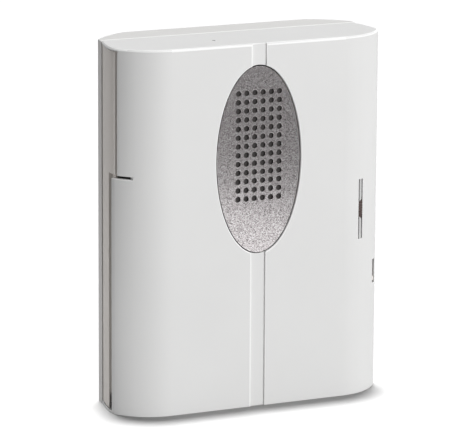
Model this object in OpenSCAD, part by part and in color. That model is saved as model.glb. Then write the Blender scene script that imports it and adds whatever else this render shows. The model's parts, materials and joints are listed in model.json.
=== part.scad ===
// Doorbell chime box: a wall tray and a lift-off chime unit with a loudspeaker behind an oval grille.
// X runs to the right, Y into the wall and Z up. The origin is the middle of the back face.
// Depths are counted forwards from the wall, so a depth d lies at y = -d.

/* [Body] */
// Width over the widest part of the sides
body_w = 117.6; // [108:0.2:130]
// Height
body_h = 150; // [145:0.5:170]
// Depth from the wall to the flat front
body_d = 44.4; // [43:0.2:50]
// Depth of the wall tray, from the wall to the seam
seam_d = 14.7; // [13:0.1:16]
// Radius of the front corners
corner_r = 23.6; // [22:0.2:26]
// Width of each front corner, from the flat front to the widest part
corner_run = 20.8; // [18:0.2:21.5]
// Radius of the bulge of the sides
side_r = 55; // [45:1:80]
// Radius that eases the edge between front corner and side
ease_r = 12; // [8:0.5:16]
// Wall thickness of the mouldings
wall_t = 2.2; // [1.8:0.1:2.6]
// Chamfer of the cover's top edge
edge_c = 0.6; // [0.3:0.1:1]
// Gap at the seam between tray and unit
seam_gap = 0.3; // [0.2:0.1:0.5]

/* [Wall tray] */
// How far the tray stands in from the widest part of the sides
tray_in = 2.4; // [1.5:0.1:3]
// Radius of the tray's rear corners
tray_corner_r = 40; // [34:1:60]
// Width of each rear corner
tray_run = 16.2; // [14:0.1:18]
// Depth of each rear corner
tray_rise = 11.6; // [11:0.1:12.8]
// Distance between the two wall screws
wall_screw_pitch = 60.3; // [50:0.1:66]
// Diameter of the wall screw holes
wall_screw_hole = 4.5; // [3.5:0.1:5.5]
// Height of the wall screws above the middle
wall_screw_z = 45; // [35:0.5:55]
// Diameter of the cable entry in the tray
cable_hole = 12; // [10:0.5:14]
// Bore of the cable grommet
cable_bore = 6; // [4:0.5:7]

/* [Cover] */
// Width of the channel down the front
channel_w = 6.1; // [4:0.1:8]
// Depth of the channel
channel_t = 0.8; // [0.4:0.1:1]
// Height of the slit over the side wing, from the bottom
wing_z = 97.5; // [90:0.5:105]
// Height of the slit itself
slit_h = 1.2; // [0.6:0.1:1.4]
// Length of the slit across the corner
slit_w = 6.1; // [4:0.1:9]
// Depth at which the cover's left edge stands above the slit
edge_up_d = 34; // [33:0.1:35]
// Depth at which the wing's edge stands below the slit
edge_low_d = 31; // [30:0.1:32]

/* [Grille] */
// Width of the oval opening's plate
grille_w = 36.4; // [34:0.2:42]
// Height of the oval plate
grille_h = 76.4; // [72:0.2:84]
// Height of the oval's middle above the box's middle
grille_z = 27.5; // [24:0.5:28]
// Diameter of the sound holes
sound_hole = 2.3; // [1.6:0.1:2.4]
// Distance between the sound holes
sound_pitch = 3.6; // [3.4:0.05:3.8]
// Columns of sound holes
sound_cols = 6; // [4:1:6]
// Rows of sound holes
sound_rows = 13; // [9:1:13]
// Height of the holes' middle above the oval's middle
sound_up = 5.9; // [0:0.1:6]

/* [Controls] */
// Diameter of the volume wheel
wheel_dia = 19; // [17:0.2:20]
// Thickness of the volume wheel
wheel_t = 1.6; // [1.2:0.1:1.7]
// Height of the wheel's axis above the middle
wheel_z = 2.9; // [0:0.1:4]
// How far the wheel's rim stands out of its slot
wheel_proud = 0; // [0:0.1:0.8]
// Length of the wheel's slot
wheel_slot = 25; // [23:0.2:27]
// Travel of the selector knob
knob_travel = 4.8; // [3:0.1:5]
// Height of the selector's slot below the middle
knob_slot_z = 25.5; // [24:0.5:30]
// Length of the selector's slot
knob_slot = 10.2; // [9.8:0.1:12]

/* [Loudspeaker] */
// How much wider the loudspeaker is than the oval
speaker_over = 13; // [11:0.5:13]
// Height of the loudspeaker's middle above the box's middle
speaker_z = 30; // [29:0.5:31]

/* [Batteries] */
// Diameter of a cell
cell_dia = 14.2; // [13.8:0.1:14.5]
// Length of a cell's can
cell_len = 49.8; // [49:0.1:50.2]
// Number of cells side by side
cell_count = 4; // [2:2:4]

/* [Hidden] */
$fn = 72;

half_w = body_w / 2;
half_h = body_h / 2;
far = 100;
// Front corners and the bulge of the sides, in plan
front_half = half_w - corner_run;
corner_d = body_d - corner_r;
shoulder_d = corner_d + sqrt(corner_r * corner_r - corner_run * corner_run);
side_x = half_w - side_r;
ease_a = (90 - asin(corner_run / corner_r)) / 2;
ease_in = ease_r * (1 + 0.9 * (1 / cos(ease_a) - 1));
ease_x = half_w - ease_in * cos(ease_a);
ease_d = shoulder_d - ease_in * sin(ease_a);
function side_at(d, t) = side_x + sqrt(pow(side_r - t, 2) - pow(d - shoulder_d, 2));
function front_at(x, t) = x < front_half ? body_d - t
  : corner_d + sqrt(pow(corner_r - t, 2) - pow(x - front_half, 2));
// Rear corners of the tray, in plan
tray_half = half_w - tray_in;
tray_chord = sqrt(tray_run * tray_run + tray_rise * tray_rise);
tray_sag = sqrt(tray_corner_r * tray_corner_r - tray_chord * tray_chord / 4);
tray_cx = tray_half - tray_run / 2 - tray_sag * tray_rise / tray_chord;
tray_cd = tray_rise / 2 + tray_sag * tray_run / tray_chord;
// Layers of the chime unit, from the wall forwards
cover_d = seam_d + seam_gap;
deck_t = 2.2;
deck_d = cover_d + deck_t;
front_in = body_d - wall_t;
clear = 0.3;
chassis_half_h = half_h - wall_t - clear;
foot_c = 0.2;
// The chassis's left side wall and the cover's lip over it
skin_gap = 0.3;
side_wall_t = 2.8;
lip_t = 1;
edge_gap = 1.5;
groove_w = 3.3;
groove_t = 1.9;
// Open corner of that wall beside the foot of the wing
foot_h = 7.2;
foot_skin = 0.7;
foot_slope = 2.6;
deck_right = side_at(cover_d, wall_t) - 0.5;
rib_t = 2;
rib_d = cover_d + 10;
// Screw posts between cover and chassis
post_x = front_half - 5;
post_z = half_h - 9;
post_r = 3.4;
screw_r = 1.4;
pilot_r = 1.45;
post_zs = [-post_z, post_z];
// Guide pegs of the tray
peg_x = half_w - 14.8;
peg_z = 0;
peg_r = 2.4;
peg_d = deck_d - 0.4;
// Bevel inside the tray's side rims
rim_c = wall_t - 0.5;
// Grille
grille_gap = 0.45;
grille_sink = 0.6;
flange_t = 1;
flange_w = 5;
grille_face_t = 1;
cloth_t = 0.5;
flange_d = front_in - flange_t;
grille_front = body_d - grille_sink;
pin_r = 1;
pin_d = flange_d - 1.3;
nut_t = 0.6;
oval_n = 120;
pin_a = (grille_w / 2 + 2.7) * cos(45);
pin_b = (grille_h / 2 + 2.7) * sin(45);
// Loudspeaker, counted back from the gasket that meets the grille
spk_r = (grille_w + speaker_over) / 2;
spk_face = flange_d - 1.2;
spk_room = spk_face - deck_d - 2.8;
rim_t = 1;
collar_in = spk_r - 3.2;
collar_out = spk_r - 1.2;
boss_at = spk_r + 1.5;
boss_r = 3;
basket_t = 0.55 * spk_room;
base_d = spk_face - basket_t;
plate_d = base_d - 0.1 * spk_room;
magnet_d = plate_d - 0.25 * spk_room;
yoke_d = magnet_d - 0.1 * spk_room;
yoke_r = 12.4;
pole_r = 4.2;
cone_r = spk_r - 7.7;
roll_r = 1.85;
roll_at = cone_r + roll_r;
coil_in = 4.5;
tag_t = 0.8;
tag_z = speaker_z - 8;
// Circuit board and what stands on it
board_t = 1.6;
board_d = deck_d + 3.3;
board_top = board_d + board_t;
board_right = deck_right - rib_t - 1;
board_left = board_right - 20.8;
board_z0 = -half_h + 15;
board_z1 = 23;
board_xs = [board_left + 3, board_right - 2.8];
board_zs = [board_z0 + 3.5, board_z1 - 3.5];
// Volume wheel
wheel_r = wheel_dia / 2;
wheel_x = half_w - 12.4;
wheel_slot_w = wheel_t + 0.5;
slot_t = 0.2;
rail_w = 0.5;
rail_t = 1.4;
wheel_d = front_at(wheel_x, 0) + wheel_proud - wheel_r;
shaft_r = 1.5;
shaft_gap = 0.05;
pot_w = 7;
pot_h = 11;
pot_x1 = wheel_x - wheel_t / 2 - 0.6;
// Selector
knob_h = 4;
knob_flat = 1.2;
knob_fall = 2.4;
knob_tip_w = 1.4;
knob_x1 = half_w - 2.2;
knob_slot_x0 = knob_x1 - knob_tip_w - clear;
knob_slot_x1 = knob_x1 + clear;
knob_z0 = -knob_slot_z - knob_travel / 2 - knob_h / 2;
knob_d = front_at(knob_x1, 0) - 0.4;
switch_w = 5.5;
switch_h = 13;
switch_x1 = board_right - 0.3;
lever_x0 = switch_x1 - 3.6;
lever_x1 = switch_x1 - 1.8;
arm_d = knob_d - 4.4;
arm_t = 2;
switch_room = arm_d - board_top;
switch_t = 0.57 * switch_room;
lever_d = board_top + 0.3 * switch_room;
// Sound chip and capacitors
chip_n = 8;
chip_pitch = 2.54;
chip_h = chip_n * chip_pitch;
chip_half_w = 3.2;
chip_x = board_left + 8;
chip_z0 = wheel_z - pot_h / 2 - 3.5 - chip_h;
cap_z = -knob_slot_z - switch_h / 2 - 6.5;
// Battery pocket, open towards the wall
cell_r = cell_dia / 2;
cell_pitch = cell_dia + 0.5;
pocket_t = 1.2;
pocket_w = cell_count * cell_pitch + 0.4;
pocket_x0 = -half_w + 10;
pocket_x1 = pocket_x0 + pocket_w;
pocket_h = cell_len + 5.2;
pocket_z0 = -half_h + 15.2;
pocket_z1 = pocket_z0 + pocket_h;
pocket_d = cover_d + 17.2;
cell_d = pocket_d - cell_r - 0.5;
contact_t = 0.4;
leaf_r = 3.1;
nub_h = 1.2;
nub_r = 2.7;
cell_end = contact_t + leaf_r + 0.05;
// Terminal block and cable way
term_w = 14;
term_h = 12;
term_x = board_left + 10.5;
term_z = -half_h + 31;
term_d = board_d - 11.5;
term_pitch = 4.6;
cable_x = board_left - 8.5;
cable_z = -half_h + 30;
// Wires
wire_r = 0.6;
lead_d = deck_d + 1.2;
lead_z = speaker_z - spk_r + 6;
// Ribs of the tray, and the small hole in the top of the cover
tray_rib_x = 12;
tray_rib_t = 1.6;
tray_rib_h = 4;
vent_x = -14.5;
vent_back = 12.9;
vent_r = 0.7;

module block(x0, x1, d0, d1, z0, z1) {
  translate([x0, -d1, z0])
    cube([x1 - x0, d1 - d0, z1 - z0]);
}

module rod(x, z, d0, d1, r) {
  translate([x, -d0, z])
    rotate([90, 0, 0])
      cylinder(h = d1 - d0, r = r);
}

module speaker_turn() {
  translate([0, 0, speaker_z])
    rotate([90, 0, 0])
      rotate_extrude()
        children();
}

// A cell position counted from the pocket's lower end, or from its upper end for every second cell
module cell_place(i) {
  x = pocket_x0 + 0.2 + cell_pitch * (i + 0.5);
  if (i % 2 == 0)
    translate([x, -cell_d, pocket_z0])
      children();
  else
    translate([x, -cell_d, pocket_z1])
      rotate([180, 0, 0])
        children();
}

module oval(a, b) {
  polygon([for (i = [0:oval_n - 1]) [a * cos(360 * i / oval_n), b * sin(360 * i / oval_n)]]);
}

module oval_slab(a, b, d0, d1) {
  translate([0, -d0, grille_z])
    rotate([90, 0, 0])
      linear_extrude(d1 - d0)
        oval(a, b);
}

// Upright drum, chamfered at its foot by b and at its top by c
module drum(r, z0, z1, b, c) {
  rotate_extrude()
    polygon([[0, z0], [r - b, z0], [r, z0 + b], [r, z1 - c], [r - c, z1], [0, z1]]);
}

// Front body of the box, set in by t, from depth d0 forwards, with chamfered ends
module front_body(t, c, d0, z0, z1) {
  front = body_d - t;
  b = min(c, foot_c);
  difference() {
    block(-half_w - 1, half_w + 1, d0, front, z0, z1);
    for (s = [-1, 1]) {
      difference() {
        block(s > 0 ? front_half : -far, s > 0 ? far : -front_half, corner_d, far, z0 - 1, z1 + 1);
        translate([s * front_half, -corner_d, 0])
          drum(corner_r - t, z0, z1, b, c);
      }
      difference() {
        block(s > 0 ? front_half : -far, s > 0 ? far : -front_half, -1, far, z0 - 1, z1 + 1);
        translate([s * side_x, -shoulder_d, 0])
          drum(side_r - t, z0, z1, b, c);
      }
      difference() {
        block(s > 0 ? ease_x : -far, s > 0 ? far : -ease_x, ease_d, ease_d + ease_r * sin(2 * ease_a),
          z0 - 1, z1 + 1);
        translate([s * ease_x, -ease_d, 0])
          drum(ease_r - t, z0, z1, b, c);
      }
    }
    if (c > 0)
      for (e = [[z0, b], [z1, c]])
        translate([0, -front, e[0]])
          rotate([45, 0, 0])
            cube([2 * front_half, e[1] * sqrt(2), e[1] * sqrt(2)], center = true);
  }
}

// Tray body set in by t, from depth t to the seam
module tray_body(t, z0, z1, d1) {
  difference() {
    block(-tray_half + t, tray_half - t, t, d1, z0, z1);
    for (s = [-1, 1])
      difference() {
        block(s > 0 ? tray_cx : -far, s > 0 ? far : -tray_cx, -1, tray_cd, z0 - 1, z1 + 1);
        translate([s * tray_cx, -tray_cd, z0 - 2])
          cylinder(h = z1 - z0 + 4, r = tray_corner_r - t);
      }
  }
}

module rear_shell() {
  color("whitesmoke")
    difference() {
      union() {
        difference() {
          tray_body(0, -half_h, half_h, seam_d);
          tray_body(wall_t, -half_h + wall_t, half_h - wall_t, seam_d + 1);
        }
        for (s = [-1, 1])
          rod(s * wall_screw_pitch / 2, wall_screw_z, wall_t - 0.2, wall_t + 2, 6);
        intersection() {
          tray_body(0, -half_h, half_h, deck_d);
          for (s = [-1, 1])
            rod(s * peg_x, peg_z, 1, peg_d, peg_r);
        }
        for (s = [-1, 1])
          block(s * tray_rib_x - tray_rib_t / 2, s * tray_rib_x + tray_rib_t / 2, wall_t - 0.2,
            wall_t + tray_rib_h, wall_screw_z / 3, half_h - 1);
      }
      for (s = [-1, 1])
        rod(s * wall_screw_pitch / 2, wall_screw_z, -1, wall_t + 3, wall_screw_hole / 2);
      rod(cable_x, cable_z, -1, wall_t + 3, cable_hole / 2);
      for (s = [-1, 1])
        translate([s * (tray_half - wall_t), -seam_d, 0])
          rotate([0, 0, 45])
            cube([rim_c * sqrt(2), rim_c * sqrt(2), 2 * (half_h - wall_t)], center = true);
      for (s = [-1, 1])
        translate([0, -seam_d, s * half_h])
          rotate([45, 0, 0])
            cube([2 * far, edge_c, edge_c], center = true);
    }
}

module cable_grommet() {
  color("dimgray")
    translate([cable_x, 0, cable_z])
      rotate([90, 0, 0])
        rotate_extrude()
          polygon([[cable_bore / 2, 0.4], [cable_hole / 2 - 0.05, 0.4], [cable_hole / 2 - 0.05, wall_t],
            [cable_hole / 2 + 1.6, wall_t], [cable_hole / 2 + 1.6, wall_t + 1.4],
            [cable_bore / 2, wall_t + 1.4]]);
}

// The chassis's own side wall, seen between the tray and the cover's left edge
module chassis_side() {
  step_z = -half_h + wing_z + slit_h + clear;
  side_half = half_h - lip_t - clear;
  up_d = edge_up_d - edge_gap;
  low_d = edge_low_d - 0.4;
  groove_d = low_d - groove_w;
  foot_x = foot_skin - side_at(groove_d, skin_gap);
  foot_in = side_wall_t - foot_skin + 1;
  difference() {
    intersection() {
      front_body(skin_gap, 0, cover_d, -side_half, side_half);
      union() {
        block(-far, -front_half - 4, cover_d, up_d, -chassis_half_h, chassis_half_h);
        block(-far, -front_half - 8 - clear, cover_d, up_d, -far, far);
      }
    }
    front_body(skin_gap + side_wall_t, 0, deck_d, -half_h, half_h);
    block(-far, 0, low_d, far, -far, step_z);
    difference() {
      block(-far, -front_half, groove_d, low_d + 0.01, -far, step_z);
      front_body(skin_gap + groove_t, 0, cover_d, -half_h, half_h);
    }
    translate([0, 0, -half_h])
      linear_extrude(foot_h)
        polygon([[-far, -groove_d], [foot_x, -groove_d], [foot_x + foot_in, -groove_d + foot_slope * foot_in],
          [foot_x + foot_in, -far], [-far, -far]]);
  }
}

module chassis() {
  color("silver")
    difference() {
      union() {
        chassis_side();
        block(-front_half - 5, deck_right, cover_d, deck_d, -chassis_half_h, chassis_half_h);
        block(deck_right - rib_t, deck_right, cover_d, rib_d, -chassis_half_h, chassis_half_h);
        block(pocket_x0 - pocket_t, pocket_x1 + pocket_t, cover_d, pocket_d + pocket_t,
          pocket_z0 - pocket_t, pocket_z1 + pocket_t);
        rod(0, speaker_z, deck_d - 0.2, spk_face - rim_t, collar_out);
        for (a = [90, 210, 330])
          rod(boss_at * cos(a), speaker_z + boss_at * sin(a), deck_d - 0.2, spk_face - rim_t, boss_r);
        for (x = board_xs, z = board_zs)
          rod(x, z, deck_d - 0.2, board_d, 2.6);
      }
      block(pocket_x0, pocket_x1, 0, pocket_d, pocket_z0, pocket_z1);
      rod(0, speaker_z, deck_d, far, collar_in);
      block(0, spk_r, deck_d, deck_d + 3, lead_z - 2.1, lead_z + 2.1);
      for (a = [90, 210, 330])
        rod(boss_at * cos(a), speaker_z + boss_at * sin(a), deck_d + 4, far, 1.25);
      for (x = board_xs, z = board_zs)
        rod(x, z, cover_d + 1, far, 1);
      for (s = [-1, 1], z = post_zs)
        rod(s * post_x, z, 0, far, pilot_r + 0.2);
      for (s = [-1, 1])
        rod(s * peg_x, peg_z, 0, far, peg_r + 0.35);
      rod(cable_x, cable_z, 0, far, cable_hole / 2);
      block(term_x - term_w / 2 - 0.5, term_x + term_w / 2 + 0.5, 0, deck_d + 1,
        term_z - term_h / 2 - 0.5, term_z + term_h / 2 + 0.5);
    }
}

// Recess along the wheel's slot, t deep, from x0 to x1 beside the wheel's middle
module wheel_recess(x0, x1, t) {
  difference() {
    block(wheel_x + x0, wheel_x + x1, shoulder_d - 2, far, wheel_z - wheel_slot / 2, wheel_z + wheel_slot / 2);
    front_body(t, 0, cover_d, -half_h, half_h);
  }
}

module front_cover() {
  slit_z = -half_h + wing_z;
  color("white")
    difference() {
      union() {
        difference() {
          front_body(0, edge_c, cover_d, -half_h, half_h);
          front_body(wall_t, 0, cover_d - 5, -half_h + wall_t, half_h - wall_t);
        }
        for (s = [-1, 1], z = post_zs)
          rod(s * post_x, z, deck_d, front_in + 0.5, post_r);
        for (s = [-1, 1], u = [-1, 1])
          rod(s * pin_a, grille_z + u * pin_b, pin_d, front_in + 0.5, pin_r);
      }
      block(-far, -front_half - 8, 0, edge_up_d, slit_z, half_h - lip_t);
      block(-far, -front_half - 8, 0, edge_low_d, -half_h + lip_t, slit_z + 0.1);
      block(-far, -half_w + slit_w, 0, far, slit_z, slit_z + slit_h);
      block(-channel_w / 2, channel_w / 2, body_d - channel_t, far, -far, far);
      oval_slab(grille_w / 2 + grille_gap, grille_h / 2 + grille_gap, front_in - 1, far);
      wheel_recess(-wheel_slot_w / 2, wheel_slot_w / 2, slot_t);
      wheel_recess(-wheel_slot_w / 2, -wheel_slot_w / 2 + rail_w, rail_t);
      wheel_recess(wheel_slot_w / 2 - rail_w, wheel_slot_w / 2, rail_t);
      translate([wheel_x - wheel_slot_w / 2, -wheel_d, wheel_z])
        rotate([0, 90, 0])
          cylinder(h = wheel_slot_w, r = wheel_r + 0.4);
      block(knob_slot_x0, knob_slot_x1, shoulder_d - 2, far,
        -knob_slot_z - knob_slot / 2, -knob_slot_z + knob_slot / 2);
      for (s = [-1, 1], z = post_zs)
        rod(s * post_x, z, 0, deck_d + 14, pilot_r);
      translate([vent_x, -body_d + vent_back, half_h - wall_t - 1])
        cylinder(h = wall_t + 2, r = vent_r);
    }
}

module cover_screws() {
  color("lightsteelblue")
    for (s = [-1, 1], z = post_zs)
      difference() {
        union() {
          rod(s * post_x, z, cover_d - 1.8, cover_d, 2.8);
          rod(s * post_x, z, cover_d - 0.2, deck_d + 12, screw_r);
        }
        block(s * post_x - 2, s * post_x + 2, cover_d - 2, cover_d - 1, z - 0.35, z + 0.35);
        block(s * post_x - 0.35, s * post_x + 0.35, cover_d - 2, cover_d - 1, z - 2, z + 2);
      }
}

module grille_plate() {
  hole_z = grille_z + sound_up;
  color("darkgray")
    difference() {
      union() {
        oval_slab(grille_w / 2 + flange_w, grille_h / 2 + flange_w, flange_d, front_in);
        oval_slab(grille_w / 2, grille_h / 2, flange_d, grille_front);
      }
      oval_slab(grille_w / 2 - 1.2, grille_h / 2 - 1.2, flange_d - 1, grille_front - grille_face_t);
      for (i = [0:sound_cols - 1], j = [0:sound_rows - 1])
        rod((i - (sound_cols - 1) / 2) * sound_pitch, hole_z + (j - (sound_rows - 1) / 2) * sound_pitch,
          flange_d, body_d, sound_hole / 2);
      for (s = [-1, 1], u = [-1, 1])
        rod(s * pin_a, grille_z + u * pin_b, flange_d - 1, body_d - 1, pin_r + 0.2);
    }
}

module grille_cloth() {
  back = grille_front - grille_face_t;
  color("black")
    oval_slab(grille_w / 2 - 1.5, grille_h / 2 - 1.5, back - cloth_t, back);
}

module grille_nuts() {
  color("lightsteelblue")
    for (s = [-1, 1], u = [-1, 1])
      difference() {
        rod(s * pin_a, grille_z + u * pin_b, flange_d - nut_t, flange_d, 2.6);
        rod(s * pin_a, grille_z + u * pin_b, flange_d - 2, flange_d + 1, pin_r + 0.05);
      }
}

module speaker_frame() {
  f = spk_face;
  ledge = base_d + 1.6;
  color("gray")
    difference() {
      speaker_turn()
        polygon([[spk_r, f], [spk_r, f - rim_t], [spk_r - 3.4, f - rim_t], [12.6, base_d + 2],
          [12.6, base_d], [6.2, base_d], [6.2, base_d + 0.8], [10.4, base_d + 0.8], [10.4, ledge],
          [11.6, ledge], [spk_r - 3.9, f - rim_t - 0.1], [spk_r - 3.9, f]]);
      for (a = [45:90:315])
        translate([0, 0, speaker_z])
          rotate([90, 0, 0])
            rotate([0, 0, a])
              translate([13.4, -4.5, base_d + 0.31 * basket_t])
                cube([9, 9, 0.45 * basket_t]);
    }
}

module speaker_yoke() {
  color("silver")
    speaker_turn()
      polygon([[0, yoke_d], [yoke_r, yoke_d], [yoke_r, magnet_d], [pole_r, magnet_d], [pole_r, base_d],
        [0, base_d]]);
}

module speaker_magnet() {
  color("dimgray")
    speaker_turn()
      translate([7.5, magnet_d])
        square([6.5, plate_d - magnet_d]);
}

module speaker_top_plate() {
  color("silver")
    speaker_turn()
      translate([coil_in + 0.9, plate_d])
        square([7, base_d - plate_d]);
}

module voice_coil() {
  color("peru")
    speaker_turn()
      polygon([[coil_in, plate_d - 1.2], [coil_in + 0.6, plate_d - 1.2], [coil_in + 0.6, base_d + 0.8],
        [coil_in + 0.25, base_d + 0.8], [coil_in + 0.25, base_d + 3], [coil_in, base_d + 3]]);
}

module speaker_spider() {
  s = base_d + 1.6;
  color("goldenrod")
    speaker_turn()
      polygon([[coil_in + 0.3, s], [6.4, s], [7, s + 0.4], [7.6, s], [8.6, s], [9.2, s + 0.4], [9.8, s], [11.2, s],
        [11.2, s + 0.3], [9.9, s + 0.3], [9.2, s + 0.75], [8.5, s + 0.3], [7.7, s + 0.3], [7, s + 0.75],
        [6.3, s + 0.3], [coil_in + 0.3, s + 0.3]]);
}

module speaker_cone() {
  neck = base_d + 2.5;
  color("darkslategray")
    speaker_turn()
      polygon([[coil_in + 0.3, neck], [cone_r - 0.8, spk_face - 0.4], [cone_r, spk_face - 0.4],
        [cone_r, spk_face], [cone_r - 1, spk_face], [coil_in + 0.3, neck + 0.5]]);
}

module dust_cap() {
  neck = base_d + 3;
  lift = (6 - coil_in - 0.3) * (spk_face - neck) / (cone_r - 1 - coil_in - 0.3);
  edge = neck + lift + 0.05;
  color("black")
    translate([0, -edge + sqrt(28), speaker_z])
      difference() {
        sphere(r = 8);
        sphere(r = 7.7);
        translate([-10, -sqrt(28), -10])
          cube([20, 20, 20]);
      }
}

module speaker_surround() {
  color("dimgray")
    speaker_turn()
      union() {
        translate([cone_r - 0.9, spk_face])
          square([1.2, 0.4]);
        difference() {
          translate([roll_at, spk_face + 0.2])
            circle(r = roll_r);
          translate([roll_at, spk_face + 0.2])
            circle(r = roll_r - 0.4);
          translate([roll_at - 3, spk_face + 0.2])
            square([6, 4]);
        }
        translate([roll_at + roll_r - 0.3, spk_face])
          square([2.7, 0.4]);
      }
}

module speaker_gasket() {
  color("black")
    speaker_turn()
      translate([roll_at + roll_r + 0.1, spk_face + 0.4])
        square([2.2, flange_d - spk_face - 0.4]);
}

module speaker_screws() {
  color("lightsteelblue")
    for (a = [90, 210, 330]) {
      x = boss_at * cos(a);
      z = speaker_z + boss_at * sin(a);
      difference() {
        union() {
          rod(x, z, spk_face, spk_face + 1, 2.8);
          rod(x, z, spk_face - 9, spk_face + 0.2, 1.2);
        }
        block(x - 1.8, x + 1.8, spk_face + 0.4, spk_face + 2, z - 0.35, z + 0.35);
        block(x - 0.35, x + 0.35, spk_face + 0.4, spk_face + 2, z - 1.8, z + 1.8);
      }
    }
}

module speaker_tags() {
  color("tan")
    block(-5, 5, yoke_d - tag_t, yoke_d, tag_z - 3, tag_z + 3);
}

module wire(path) {
  for (i = [0:len(path) - 2]) {
    a = path[i];
    b = path[i + 1];
    run = b - a;
    translate(a)
      rotate([0, acos(run[2] / norm(run)), atan2(run[1], run[0])])
        cylinder(h = norm(run), r = wire_r);
    if (i > 0)
      translate(a)
        sphere(r = wire_r);
  }
}

module speaker_leads() {
  end_x = board_left + 1.4;
  color("firebrick")
    for (s = [-1, 1]) {
      x = 1.5 * s;
      z = lead_z + s;
      wire([[x, -yoke_d + tag_t, tag_z], [x, -lead_d, tag_z], [x, -lead_d, z], [end_x, -lead_d, z],
        [end_x, -board_d, z]]);
    }
}

module circuit_board() {
  color("darkgreen")
    difference() {
      block(board_left, board_right, board_d, board_top, board_z0, board_z1);
      for (x = board_xs, z = board_zs)
        rod(x, z, board_d - 1, board_top + 1, 1.25);
      block(wheel_x - wheel_t / 2 - 0.5, wheel_x + wheel_t / 2 + 0.5, board_d - 1, board_top + 1,
        wheel_z - 0.8 * wheel_r, wheel_z + 0.8 * wheel_r);
    }
}

module board_screws() {
  color("lightsteelblue")
    for (x = board_xs, z = board_zs)
      difference() {
        union() {
          rod(x, z, board_top, board_top + 1.2, 2.1);
          rod(x, z, board_d - 2.5, board_top + 0.2, 0.95);
        }
        block(x - 1.4, x + 1.4, board_top + 0.6, board_top + 2, z - 0.3, z + 0.3);
        block(x - 0.3, x + 0.3, board_top + 0.6, board_top + 2, z - 1.4, z + 1.4);
      }
}

module sound_chip() {
  color("black")
    difference() {
      block(chip_x - chip_half_w, chip_x + chip_half_w, board_top + 0.5, board_top + 3.8, chip_z0,
        chip_z0 + chip_h);
      rod(chip_x, chip_z0 + chip_h, board_top + 3.3, board_top + 5, 1);
    }
}

module chip_legs() {
  color("silver")
    for (s = [-1, 1], i = [0:chip_n - 1])
      translate([chip_x + s * chip_half_w, 0, chip_z0 + chip_pitch * (i + 0.5)])
        block(s > 0 ? 0 : -0.5, s > 0 ? 0.5 : 0, board_top, board_top + 2.4, -0.4, 0.4);
}

module capacitors() {
  color("navy")
    for (k = [0, 1])
      difference() {
        rod(chip_x - 1 + 8.4 * k, cap_z, board_top, board_top + 9.5 - 2 * k, 3.7 - 0.4 * k);
        rod(chip_x - 1 + 8.4 * k, cap_z, board_top + 9.1 - 2 * k, far, 3);
      }
}

module terminal_block() {
  color("seagreen")
    difference() {
      block(term_x - term_w / 2, term_x + term_w / 2, term_d, board_d, term_z - term_h / 2, term_z + term_h / 2);
      for (i = [-1:1]) {
        rod(term_x + i * term_pitch, term_z + 1, 0, term_d + 5, 1.8);
        translate([term_x + i * term_pitch, -term_d - 7, term_z - term_h / 2 - 1])
          cylinder(h = 8, r = 1.6);
      }
    }
}

module terminal_screws() {
  color("lightsteelblue")
    for (i = [-1:1]) {
      x = term_x + i * term_pitch;
      difference() {
        rod(x, term_z + 1, term_d + 1.5, term_d + 5, 1.7);
        block(x - 2, x + 2, term_d, term_d + 2.3, term_z + 0.7, term_z + 1.3);
      }
    }
}

module volume_pot() {
  color("darkslategray")
    difference() {
      block(pot_x1 - pot_w, pot_x1, board_top, wheel_d + 5, wheel_z - pot_h / 2, wheel_z + pot_h / 2);
      translate([pot_x1 - 5, -wheel_d, wheel_z])
        rotate([0, 90, 0])
          cylinder(h = 10, r = shaft_r + shaft_gap);
    }
}

module volume_wheel() {
  notch_n = 40;
  color("saddlebrown")
    translate([wheel_x - wheel_t / 2, -wheel_d, wheel_z])
      rotate([0, 90, 0])
        difference() {
          union() {
            cylinder(h = wheel_t, r = wheel_r);
            translate([0, 0, -0.4])
              cylinder(h = 1, r = 3);
            translate([0, 0, -5])
              cylinder(h = 5.5, r = shaft_r);
          }
          for (i = [0:notch_n - 1])
            rotate([0, 0, 360 * i / notch_n])
              translate([wheel_r + 0.15, 0, -1])
                cylinder(h = wheel_t + 2, r = 0.45);
        }
}

module switch_body() {
  z = -knob_slot_z;
  color("silver")
    difference() {
      block(switch_x1 - switch_w, switch_x1, board_top, board_top + switch_t, z - switch_h / 2, z + switch_h / 2);
      block(lever_x0 - 0.1, lever_x1 + 0.1, lever_d - 0.1, far, z - knob_slot / 2, z + knob_slot / 2);
    }
}

module switch_knob() {
  color("gainsboro")
    union() {
      block(lever_x0, lever_x1, lever_d, arm_d + arm_t, knob_z0, knob_z0 + knob_h);
      block(lever_x0, knob_x1, arm_d, arm_d + arm_t, knob_z0, knob_z0 + knob_h);
      translate([knob_x1, 0, 0])
        rotate([0, -90, 0])
          linear_extrude(knob_tip_w)
            polygon([[knob_z0, -arm_d], [knob_z0, -knob_d], [knob_z0 + knob_flat, -knob_d],
              [knob_z0 + knob_h, -knob_d + knob_fall], [knob_z0 + knob_h, -arm_d]]);
      block(knob_x1 - 3.2, knob_x1 - 0.6, arm_d, arm_d + 0.8, knob_z0 - knob_travel - 0.4,
        knob_z0 + knob_h + knob_travel + 0.8);
    }
}

module battery_cells() {
  color("goldenrod")
    for (i = [0:cell_count - 1])
      cell_place(i)
        translate([0, 0, cell_end])
          cylinder(h = cell_len, r = cell_r);
}

module battery_nubs() {
  color("silver")
    for (i = [0:cell_count - 1])
      cell_place(i)
        translate([0, 0, cell_end + cell_len])
          cylinder(h = nub_h, r = nub_r);
}

module contact_plates() {
  color("lightsteelblue")
    for (i = [0:cell_count - 1])
      cell_place(i)
        translate([-5, -5, pocket_h - contact_t])
          cube([10, 10, contact_t]);
}

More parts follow.
